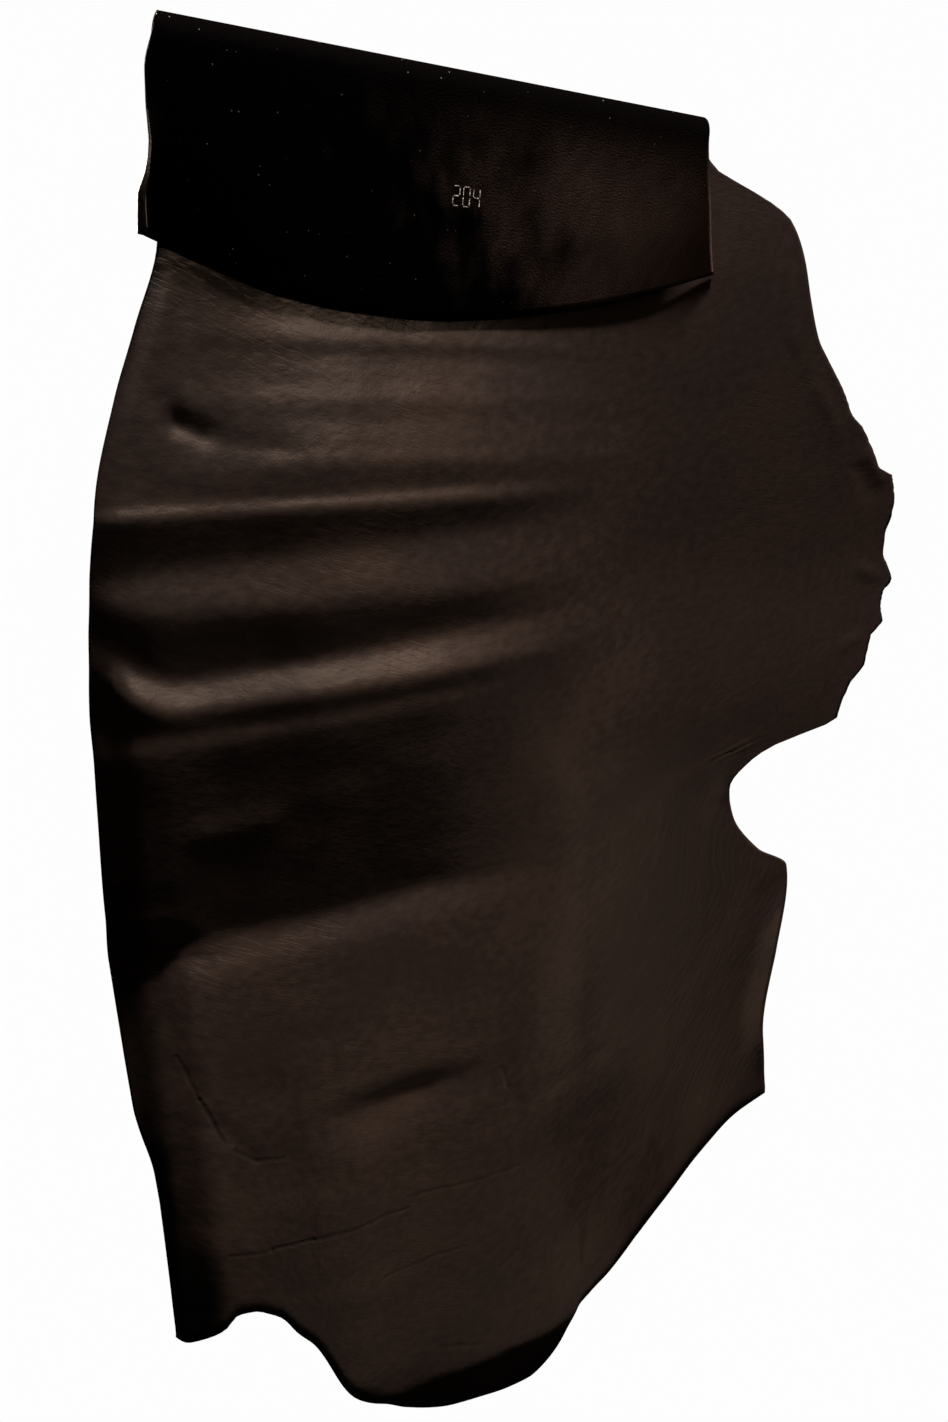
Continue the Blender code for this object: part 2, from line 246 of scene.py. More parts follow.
FLAP_BELLY = [
    Station(0, 239), Station(17, 237), Station(40, 243), Station(65, 253),
    Station(99, 266), Station(130, 280),
]

# %% Soft curves through the tables


def columns(table):
    """The columns of a table of named rows, as arrays."""
    return np.array(table, dtype=float).T


def soft_curve(table, at):
    """A smooth curve through a table's two columns that never overshoots its points.

    Between two points it is a cubic whose end slopes are the harmonic mean of the straight
    slopes on both sides, or level where the table turns.
    """
    x, y = columns(table)
    step = np.diff(x)
    slope = np.diff(y) / step
    turns = slope[:-1] * slope[1:] <= 0
    mean = 2 * slope[:-1] * slope[1:] / np.where(turns, 1, slope[:-1] + slope[1:])
    tangent = np.concatenate([slope[:1], np.where(turns, 0, mean), slope[-1:]])
    i = np.clip(np.searchsorted(x, at, side="right") - 1, 0, len(step) - 1)
    q = np.clip((at - x[i]) / step[i], 0, 1)
    return (y[i] * (1 + 2 * q) * (1 - q) ** 2 + y[i + 1] * (3 - 2 * q) * q ** 2
            + step[i] * q * (1 - q) * (tangent[i] * (1 - q) - tangent[i + 1] * q))


def smoothstep(start, end, value):
    """0 before start, 1 after end, and a soft S between."""
    q = np.clip((value - start) / (end - start), 0, 1)
    return q * q * (3 - 2 * q)


def far_edge(drop):
    """x of the body's far edge: soft shoulder, torn belly, soft armpit and shank."""
    x = np.interp(drop, *columns(SHOULDER[-1:] + BELLY))
    x = np.where(drop < SHOULDER[-1].drop, soft_curve(SHOULDER, drop), x)
    lower = BELLY[-1:] + ARMPIT_AND_SHANK
    return np.where(drop > BELLY[-1].drop, soft_curve(lower, drop), x)


def neck_edge(share):
    """The lower edge at a share of its own length: x and drop."""
    x, drop = columns(NECK)
    length = np.concatenate([[0], np.cumsum(np.hypot(np.diff(x), np.diff(drop)))])
    where = share * length[-1]
    return (soft_curve(np.stack([length, x]).T, where),
            soft_curve(np.stack([length, drop]).T, where))


print("belly edge reaches", max(s.x for s in BELLY), "mm, neck drops",
      max(c.drop for c in NECK), "mm")

# %% [markdown]
# ## The waves
#
# Leather is stiff.  It remembers how it lay folded in a pile, and hangs with waves across
# it, strong at the thick backbone and gone by the middle.  From the side such a sheet is a
# chain of nearly straight stretches joined by soft bends.  So the tables name the bends:
# where each one lies on the backbone side and nearer the middle, how many degrees the
# stretch below it looks up, how soft the bend is, and from where to where across the hide
# that stretch lives.
#
# BENDS are the great waves.  BULGE is the fluted belly of leather under the flap, and
# UNDER_HEM the straighter strip beside it.  HOLLOW is one short fold towards the neck, SWAY
# a slow turn of the belly side, NECK_LIFT one of the neck, and LOBE its tip turned under.

# %% Tables of bends
Bend = namedtuple("Bend", "left right tilt soft start rise end fade hook")
BENDS = [
    Bend(160, 184, 4.5, 6, -120, 130, 190, 200, 0), Bend(203, 203, -6.5, 4, -150, 200, 190, 150, 0),
    Bend(210, 210, -2.5, 8, -400, 70, 190, 240, 0), Bend(325, 316, 17.5, 4, -400, 70, 150, 170, 0),
    Bend(334, 327, -12.5, 4, -400, 70, 190, 200, 0), Bend(374, 351, 8.5, 9, -400, 70, 190, 240, 0),
    Bend(412, 408, -13.0, 9, -400, 70, 150, 160, 8), Bend(464, 440, 21.0, 7, -292, 22, 190, 240, 22),
    Bend(492, 475, -14.0, 5, -400, 70, 150, 160, 20), Bend(510, 493, 2.0, 5, -400, 70, 60, 160, 8),
    Bend(521, 501, -11.0, 5, -400, 70, 150, 240, 0), Bend(715, 699, 20.0, 6, -258, 30, 160, 240, 0),
    Bend(746, 729, 5.2, 12, -400, 70, 190, 240, 0), Bend(1055, 1031, 1.5, 30, -400, 70, 150, 240, 0),
    Bend(1180, 1180, 0.0, 30, -400, 70, 150, 240, 0),
]
BULGE = [
    Bend(191, 188, 5.0, 4, -110, 130, 200, 200, 0), Bend(203, 200, 1.5, 4, -110, 130, 200, 200, 0),
    Bend(215, 212, 10.0, 4, -110, 130, 200, 200, 0), Bend(229, 226, 8.0, 4, -110, 130, 200, 200, 0),
    Bend(237, 234, 12.5, 4, -110, 190, 250, 290, 0), Bend(249, 246, 4.5, 4, -110, 190, 250, 290, 0),
    Bend(264, 261, 10.0, 4, -110, 190, 250, 290, 0), Bend(279, 277, 7.0, 4, -110, 190, 250, 290, 0),
    Bend(287, 285, 13.0, 4, -110, 190, 250, 290, 0), Bend(298, 296, -3.0, 5, -110, 190, 250, 290, 0),
    Bend(324, 315, 0.0, 4, -110, 190, 250, 290, 0),
]
UNDER_HEM = [
    Bend(150, 150, -2.5, 6, -400, 70, -130, 70, 0), Bend(203, 203, 0.0, 6, -400, 70, -130, 70, 0),
    Bend(560, 560, 0.95, 12, -400, 70, -130, 70, 0), Bend(700, 700, 0.0, 12, -400, 70, -130, 70, 0),
]
NECK_LIFT = [
    Bend(1075, 1060, 3.0, 30, 120, 120, 900, 10, 0), Bend(1300, 1300, 0.0, 30, 120, 120, 900, 10, 0),
]
HOLLOW = [
    Bend(902, 887, -23.0, 7, -90, 80, 30, 80, 0), Bend(920, 909, 9.0, 7, -110, 70, 60, 90, 0),
    Bend(957, 946, 0.0, 12, -110, 70, 60, 90, 0),
]
SWAY = [
    Bend(120, 120, -2.5, 30, 220, 160, 900, 10, 0), Bend(425, 425, 5.4, 40, 220, 160, 900, 10, 0),
    Bend(565, 565, 0.0, 40, 220, 160, 900, 10, 0),
]
LOBE = [
    Bend(1270, 1274, -15.0, 4, -80, 70, 175, 30, 0), Bend(1420, 1420, 0.0, 4, -80, 70, 175, 30, 0),
]
print(len(BENDS), "bends in the great waves,", len(BULGE), "in the fluted bulge")

# %% The waves they make
NEAR_X = -200.0
FAR_X = 80.0
LEAST_ALONG, MOST_ALONG = -0.5, 1.6
HOOK_FROM = -250.0
HOOK_LENGTH = 45.0
MOST_HOOKED = 1.5


def hinge(past, soft):
    """0 before a bend and the distance past it after, turning over about "soft" mm.

    Half of the distance plus the root of its square and the softness squared.
    """
    return 0.5 * (past + np.sqrt(past ** 2 + soft ** 2))


def bent(bends, x, drop):
    """How far back a chain of tilted stretches has gone at a drop, in mm.

    Each bend adds the change of slope there, times the hinge of the distance past it.  It
    lies at "left" where x is NEAR_X and at "right" where x is FAR_X, on a straight line
    that hooks upwards beside the backbone.
    """
    along = np.clip((x - NEAR_X) / (FAR_X - NEAR_X), LEAST_ALONG, MOST_ALONG)
    hooked = np.clip((HOOK_FROM - x) / HOOK_LENGTH, 0, MOST_HOOKED) ** 2
    depth = np.zeros_like(x)
    before = np.zeros_like(x)
    for bend in bends:
        lies = bend.left + (bend.right - bend.left) * along - bend.hook * hooked
        lives = smoothstep(bend.end, bend.end - bend.fade, x)
        lives = lives * smoothstep(bend.start - bend.rise, bend.start, x)
        slope = -np.tan(np.radians(bend.tilt)) * lives
        depth += (slope - before) * hinge(drop - lies, bend.soft)
        before = slope
    return depth - before * (drop - bends[-1].left)


def wave_depth(x, drop):
    """How far behind the plumb plane the body lies: all seven chains together."""
    chains = (BENDS, BULGE, UNDER_HEM, HOLLOW, SWAY, NECK_LIFT, LOBE)
    return sum(bent(chain, x, drop) for chain in chains)


LOOK_AT_X = -150.0
depth_there = wave_depth(np.full(1400, LOOK_AT_X), np.arange(1400.0))
print("at x", LOOK_AT_X, "the waves span", round(float(np.ptp(depth_there)), 1), "mm")

# %% [markdown]
# ## Fine relief
#
# Between the waves lie smaller marks of the same kind: a dimple where the pile pressed in,
# knots in the loose neck, puckers along the torn belly.  Each is a ridge or a furrow along
# a short straight line, with a soft bell for its cross-section, so one function serves them
# all.  They are real shape, because they have to hold up in a side view too.  Only the
# hair-thin creases above the neck, finer than the rows of the mesh, wait for the finish.

# %% Ridges and furrows
Crease = namedtuple("Crease", "x drop to_x to_drop width height")
CREASES = [
    # the hooked dimple near the backbone
    Crease(-256, 250, -246, 265, 9, -1.4), Crease(-246, 267, -226, 275, 10, -2.2),
    Crease(-226, 275, -165, 286, 9, -0.7), Crease(-246, 290, -200, 297, 14, -0.6),
    # the lit spot in the long dark hollow
    Crease(-240, 612, -190, 604, 16, 1.6),
    # crossing creases towards the neck
    Crease(-270, 840, -250, 900, 7, -0.9), Crease(-250, 900, -220, 940, 6, -0.8),
    Crease(48, 915, 54, 965, 6, -0.5), Crease(60, 960, 180, 950, 12, -0.35),
    # upright ridges in the neck
    Crease(70, 1100, 72, 1200, 10, 0.5), Crease(38, 1140, 42, 1152, 7, -0.5),
    Crease(146, 1160, 140, 1290, 7, 0.6), Crease(156, 1160, 152, 1290, 9, -0.5),
    # puckers along the torn belly
    Crease(375, 120, 400, 180, 12, 0.4), Crease(400, 180, 480, 270, 12, 0.5),
    Crease(480, 270, 500, 320, 12, 0.4), Crease(440, 230, 462, 250, 9, 0.5),
    Crease(538, 300, 565, 326, 9, 1.6), Crease(524, 316, 548, 344, 9, -1.0),
    Crease(545, 430, 575, 440, 8, 1.4), Crease(520, 520, 548, 512, 8, 1.0),
    # the drawn-in leather beside the armpit
    Crease(346, 622, 340, 668, 12, 1.6), Crease(330, 700, 420, 790, 14, 0.8),
]
THIN_CREASES = [
    # a hooked one near the backbone margin
    Crease(-278, 826, -264, 868, 4, 0.5), Crease(-264, 868, -248, 914, 4, 0.8),
    Crease(-237, 927, -218, 944, 4, 0.4), Crease(-218, 944, -194, 947, 4, 0.4),
    # long level ones above the neck
    Crease(-252, 1036, -212, 1043, 4, 0.4), Crease(-212, 1041, -173, 1042, 4, 0.8),
    Crease(-173, 1042, -72, 1042, 4, 0.6), Crease(-72, 1029, 57, 1037, 4, 0.4),
    Crease(-102, 1114, -14, 1109, 4, 0.4), Crease(-42, 1229, 6, 1247, 5, 0.3),
    # round the end of the hollow, and an upright one in the neck
    Crease(39, 914, 46, 939, 5, 0.4), Crease(46, 939, 39, 957, 5, 0.4),
    Crease(30, 1155, 55, 1145, 4, 0.5), Crease(55, 1145, 62, 1119, 5, 0.4),
]


def crease_height(x, drop):
    """How far the creases lift the leather towards the viewer.

    The sum over the creases of: height times a bell curve of the distance to the crease's
    line.  The distance is taken to the nearest point of the line, so the ends are round.
    """
    height = np.zeros_like(x)
    for c in CREASES:
        along_x, along_drop = c.to_x - c.x, c.to_drop - c.drop
        share = ((x - c.x) * along_x + (drop - c.drop) * along_drop)
        share = np.clip(share / (along_x ** 2 + along_drop ** 2), 0, 1)
        away = np.hypot(x - c.x - share * along_x, drop - c.drop - share * along_drop)
        height += c.height * np.exp(-(away / c.width) ** 2)
    return height


RIPPLE_WAVES = 8
SHORTEST, SPREAD = 0.67, 0.66
Unrest = namedtuple("Unrest", "height length seed")
UNREST = (Unrest(0.6, 70, 3), Unrest(0.18, 30, 4))
LEAST_UNREST = 0.2
UNREST_FROM, UNREST_FULL = 150, -150
TEAR_DEPTH = 2.2
TEAR_LENGTHS = (25, 14, 9, 6, 4.3)
TEAR_SEED = 5


def ripple(x, drop, length, seed):
    """Soft, even unrest between -1 and 1: the mean of eight plane sine waves.

    Each has its own direction and a length within a third of the one asked for.
    """
    rng = np.random.default_rng(seed)
    total = np.zeros_like(x)
    for direction, stretch, phase in (rng.random((RIPPLE_WAVES, 3))
                                      * [np.pi, SPREAD, 2 * np.pi]):
        wave_number = 2 * np.pi / (length * (SHORTEST + stretch))
        total += np.sin(wave_number * (x * np.cos(direction) + drop * np.sin(direction)) + phase)
    return total / RIPPLE_WAVES


def unrest(x, drop):
    """The small unevenness of a hanging hide, stronger near the backbone."""
    loose = LEAST_UNREST + (1 - LEAST_UNREST) * smoothstep(UNREST_FROM, UNREST_FULL, x)
    return loose * sum(part.height * ripple(x, drop, part.length, part.seed)
                       for part in UNREST)


def ragged(at):
    """A torn edge's outline: a few sine waves along it, the long ones deeper.

    Each is as high as the root of its length.
    """
    rng = np.random.default_rng(TEAR_SEED)
    phases = rng.random(len(TEAR_LENGTHS)) * 2 * np.pi
    total = np.zeros_like(at, dtype=float)
    for length, phase in zip(TEAR_LENGTHS, phases):
        total += np.sin(2 * np.pi * at / length + phase) * np.sqrt(length / TEAR_LENGTHS[0])
    return TEAR_DEPTH * total / 3


print(len(CREASES), "creases, highest", max(c.height for c in CREASES), "mm")

# %% [markdown]
# ## Margins
#
# A cut edge dries first and curls.  Along the backbone the last 18 mm roll by an angle that
# changes from the flap, where they turn forward, to the neck, where they turn back.  Inward
# of them the backbone side as a whole falls back, most of all below the great waves.  The
# lower edge turns back too, and the shank's edge curls gently forward.

# %% Tables of the margins
Curl = namedtuple("Curl", "place angle")
Turn = namedtuple("Turn", "x depth reach")
CURLS = [
    Curl(-138, 160), Curl(-110, 140), Curl(-85, 65), Curl(-60, 12), Curl(0, 0),
    Curl(150, -20), Curl(200, -42), Curl(480, -38), Curl(760, -38), Curl(900, -25),
    Curl(965, -62), Curl(1100, -62),
]
TURNS = [
    Turn(-312, 4, 18), Turn(-200, 4, 20), Turn(-126, 6, 26), Turn(-60, 5, 24),
    Turn(60, 5, 24), Turn(120, 5, 24), Turn(150, 5, 24), Turn(165, 5, 25),
    Turn(240, 9, 38), Turn(330, 8, 34), Turn(452, 2, 15),
]
Fall = namedtuple("Fall", "drop depth width")
FALLS = [
    Fall(190, 0, 50), Fall(330, 4, 40), Fall(480, 9, 50), Fall(690, 10, 60),
    Fall(735, 22, 110), Fall(785, 17, 85), Fall(850, 11, 60), Fall(910, 8, 45),
    Fall(960, 9, 50), Fall(1000, 12, 60), Fall(1100, 14, 66),
]
FALL_POWER = 1.5
LIP = 18.0
STRAIGHT = 1e-6
SHANK_CURL_DEPTH = 8.0
SHANK_CURL_REACH = 36.0
SHANK_CURL_FROM = (800, 900)
SHANK_CURL_TO = (1100, 1010)


def lower_margin(x, drop, edge):
    """How far the lower margin turns back: a parabola over its reach from the edge."""
    x_at, depth, reach = columns(TURNS)
    inside = (edge - drop) / np.interp(x, x_at, reach)
    return np.interp(x, x_at, depth) * np.clip(1 - inside, 0, 1) ** 2


def shank_curl(x, drop, far):
    """How far the shank's edge curls forward: a parabola, between armpit and corner."""
    inside = np.clip(1 - (far - x) / SHANK_CURL_REACH, 0, 1) ** 2
    return (SHANK_CURL_DEPTH * inside * smoothstep(*SHANK_CURL_FROM, drop)
            * smoothstep(*SHANK_CURL_TO, drop))


def fall_away(inside, drop):
    """How far the backbone side falls back: its width's remaining share to the power 1.5."""
    drop_at, depth, width = columns(FALLS)
    wide = np.interp(drop, drop_at, width)
    return np.interp(drop, drop_at, depth) * np.clip(1 - inside / wide, 0, 1) ** FALL_POWER


def curl_margin(x, y, inward, place):
    """Roll the backbone margin round: a length "inward" past the lip's root bends evenly.

    The bend per millimetre is the curl's angle over the lip's width, so a length s ends up
    sin(bend s) / bend outwards and (1 - cos(bend s)) / bend forwards.
    """
    bend = np.radians(np.interp(place, *columns(CURLS))) / LIP
    bend = np.where(np.abs(bend) < STRAIGHT, STRAIGHT, bend)
    return x - np.sin(bend * inward) / bend, y - (1 - np.cos(bend * inward)) / bend


# %% [markdown]
# ## The sheet
#
# The surface has two parameters.  One runs across, from the backbone to the far edge, and
# the other runs down the leather's own length, from the flap's hem, up over the rail and
# down to the neck.  Three areas share the columns: flap, fold and body.  The rows are closer
# together where the waves are tight.

# %% Rows and columns
THICKNESS = 2.0
RAIL_RADIUS = 15.0
FOLD_RADIUS = RAIL_RADIUS + THICKNESS / 2
RAIL_AXIS = -(FOLD_RADIUS + THICKNESS / 2)
Lean = namedtuple("Lean", "x back")
LEANS = [
    Lean(-262, 29.2), Lean(-200, 29), Lean(-100, 27), Lean(20, 28.4), Lean(200, 28.4),
    Lean(280, 30),
]
LEAN_POWER = 1.15
FLAP_UNREST = Unrest(0.5, 160, 11)
FLAP_UNREST_FROM = (30, 110)
SPREAD_FROM = 0.58
TORN_FROM = (190, 260)
TORN_TO = (640, 600)
FREE_FROM = (40, 120)
RowSpan = namedtuple("RowSpan", "start end step")
BODY_ROWS = [
    RowSpan(17, 180, 6.5), RowSpan(180, 216, 3), RowSpan(216, 305, 4),
    RowSpan(305, 340, 2.5), RowSpan(340, 450, 5), RowSpan(450, 528, 3),
    RowSpan(528, 695, 6), RowSpan(695, 755, 3.5), RowSpan(755, 1100, 3.2),
]
FLAP_ROWS = 30
FOLD_ROWS = 20
PLAIN_EDGE = [Station(0, 239), Station(60, 350), Station(150, 430), Station(320, 540),
              Station(450, 540), Station(620, 460), Station(760, 440), Station(1106, 452)]
CALM_SHARE = 0.45
LIP_COLUMNS = 9
PANEL_COLUMNS = 140

outside = np.linspace(LIP, 0, LIP_COLUMNS + 1)[:-1]
outside = np.concatenate([outside, np.zeros(PANEL_COLUMNS + 1)])[None, :]
panel = np.linspace(0, 1, PANEL_COLUMNS + 1)
panel = np.concatenate([np.zeros(LIP_COLUMNS), panel])[None, :]


def across(left, right):
    """x of the columns without the lip, which stands at its root: one row per edge pair."""
    root = left + LIP
    return root + panel * (right - root)


def rows_of(spans):
    """The drops of all rows: even steps within each span, and the last span's end."""
    parts = [np.linspace(s.start, s.end, max(1, round((s.end - s.start) / s.step)),
                         endpoint=False) for s in spans]
    return np.concatenate(parts + [[spans[-1].end]])[:, None]


# %% Flap, fold and body


def flap_depth(x, drop):
    """y of the flap's middle layer: plumb at the rail and leaning back to the hem."""
    share = (drop + RAIL_AXIS) / (soft_curve(FLAP_HEM, x) + RAIL_AXIS)
    lean = soft_curve(LEANS, x) * np.clip(share, 0, 1) ** LEAN_POWER
    part = FLAP_UNREST
    uneven = part.height * smoothstep(*FLAP_UNREST_FROM, drop)
    return -FOLD_RADIUS + lean + uneven * ripple(x, drop, part.length, part.seed)


def flap():
    """The short side: plumb in front, its far corner leaning back to the body."""
    share = np.linspace(1, 0, FLAP_ROWS, endpoint=False)[:, None]
    near = -RAIL_AXIS + share * (FLAP_HEM[0].drop + RAIL_AXIS)
    far = -RAIL_AXIS + share * (FLAP_HEM[-1].drop + RAIL_AXIS)
    x = across(soft_curve(FLAP_BACKBONE, near), soft_curve(FLAP_BELLY, far))
    hem = soft_curve(FLAP_HEM, x - outside)
    drop = -RAIL_AXIS + share * (hem + RAIL_AXIS)
    x, y = curl_margin(x, flap_depth(x, drop), outside, -drop)
    return x, y, drop


def fold():
    """Half a turn round the rail: y and drop are the sine and cosine of the turn."""
    turn = np.radians(np.linspace(-90, 90, FOLD_ROWS + 1))[:, None]
    drop = -RAIL_AXIS - FOLD_RADIUS * np.cos(turn)
    left = np.where(turn < 0, soft_curve(FLAP_BACKBONE, drop), soft_curve(BACKBONE, drop))
    right = np.where(turn < 0, soft_curve(FLAP_BELLY, drop), soft_curve(SHOULDER, drop))
    x = across(left, right) - outside
    return x, FOLD_RADIUS * np.sin(turn) + 0 * x, drop + 0 * x


def body():
    """The long side: rows tip and spread from level lines into the neck's outline."""
    drop = rows_of(BODY_ROWS)[1:]
    t = (drop - BODY_ROWS[0].start) / (BODY_ROWS[-1].end - BODY_ROWS[0].start)
    neck_fall = NECK[-1].drop - BODY_ROWS[-1].end
    far_drop = drop + t * neck_fall
    right = far_edge(far_drop)
    torn = smoothstep(*TORN_FROM, far_drop) * smoothstep(*TORN_TO, far_drop)
    right = right - torn * np.abs(ragged(far_drop))
    plain = np.interp(far_drop, *columns(PLAIN_EDGE))
    x = across(soft_curve(BACKBONE, drop), plain)
    x = x + (right - plain) * smoothstep(CALM_SHARE, 1, panel) ** 2
    flat = x - outside
    share = (flat - flat[:, :1]) / (flat[:, -1:] - flat[:, :1])
    spread = np.clip((t - SPREAD_FROM) / (1 - SPREAD_FROM), 0, 1) ** 2
    neck_x, neck_drop = neck_edge(share)
    shift = spread * (neck_x - NECK[0].x - share * (NECK[-1].x - NECK[0].x))
    base = drop + share * (far_drop - drop)
    level = BODY_ROWS[-1].end + share * neck_fall
    down = base + spread * (neck_drop - level)
    place_x = flat + shift
    y = FOLD_RADIUS + wave_depth(place_x, down)
    y = y + lower_margin(place_x, down, neck_drop)
    y = y - shank_curl(flat, down, flat[:, -1:])
    y = y + fall_away(flat - flat[:, :1], down)
    free = smoothstep(*FREE_FROM, down)
    y = y - free * (crease_height(place_x, down) + unrest(place_x, down))
    x, y = curl_margin(x + shift, y, outside, drop)
    return x, y, down


parts = [flap(), fold(), body()]
x, y, drop = (np.concatenate([part[i] for part in parts]) for i in range(3))
place = np.stack([x, y, -drop], -1) * MM
rows, cols = x.shape
print(rows, "rows by", cols, "columns,", np.round(np.ptp(place.reshape(-1, 3), axis=0), 4), "m")

# %% [markdown]
# ## Flat size
#
# A pattern on leather belongs to the leather, so the texture coordinates are lengths
# measured along the sheet in metres: across from the middle of each row, and down from the
# crest.  The same lengths give the size the side was cut to.

# %% Lengths along the sheet
step_across = np.linalg.norm(np.diff(place, axis=1), axis=-1)
step_down = np.linalg.norm(np.diff(place, axis=0), axis=-1)
run_across = np.concatenate([np.zeros((rows, 1)), np.cumsum(step_across, axis=1)], axis=1)
run_down = np.concatenate([np.zeros((1, cols)), np.cumsum(step_down, axis=0)], axis=0)
crest = FLAP_ROWS + FOLD_ROWS // 2
middle = np.argmin(np.abs(place[crest, :, 0]))
u = run_across - run_across[:, middle:middle + 1] + place[:, middle:middle + 1, 0]
v = run_down - run_down[crest:crest + 1, :]

# %% [markdown]
# ## The mesh
#
# The grid becomes one layer of quads with its flesh side outwards, as on the crest.
# Solidify then gives it the real 2 mm and closes it with a cut edge.  Its material offsets
# put the grain finish on the inner skin and the edge finish on the rim.

# %% Make the hide
row, column = np.meshgrid(np.arange(rows - 1), np.arange(cols - 1), indexing="ij")
corner = row * cols + column
quads = np.stack([corner, corner + 1, corner + cols + 1, corner + cols], -1).reshape(-1, 4)
hide_mesh = bpy.data.meshes.new("leather_side")
hide_mesh.from_pydata(place.reshape(-1, 3), [], quads)
uv = np.stack([u, v], -1).reshape(-1, 2)
uv_layer = hide_mesh.uv_layers.new(name="flat")
uv_layer.data.foreach_set("uv", uv[quads.ravel()].ravel())
hide_mesh.shade_smooth()
hide = bpy.data.objects.new("leather_side", hide_mesh)
bpy.context.collection.objects.link(hide)
thick = hide.modifiers.new("thickness", "SOLIDIFY")
thick.thickness = THICKNESS * MM
thick.offset = 0
thick.use_quality_normals = True
thick.material_offset = 1
thick.material_offset_rim = 2
print("crest faces", "up" if hide_mesh.polygons[crest * (cols - 1) + middle].normal.z > 0
      else "down")

# %% [markdown]
# ## A short way to write materials
#
# A finish is a sum of a few patterns, and a sum should look like one.  "Field" holds one
# socket and answers to plus, minus and times by adding a Math node.  "Finish.node"
# adds any other node: its type, its settings and what goes into its sockets.

# %% Fields and finishes
WAVER = 6.0
WAVERS_PER_METRE = 45.0


class Field:
    """A number that varies over a surface: one socket, with arithmetic."""

    def __init__(self, finish, socket):
        self.finish = finish
        self.socket = socket

    def math(self, operation, first, second=0.0):
        return self.finish.node("ShaderNodeMath", {"operation": operation},
                                {0: first, 1: second})

    def __add__(self, other):
        return self.math("ADD", self, other)

    def __sub__(self, other):
        return self.math("SUBTRACT", self, other)

    def __rsub__(self, other):
        return self.math("SUBTRACT", other, self)

    def __mul__(self, other):
        return self.math("MULTIPLY", self, other)

    def size(self):
        return self.math("ABSOLUTE", self)

    __radd__ = __add__
    __rmul__ = __mul__


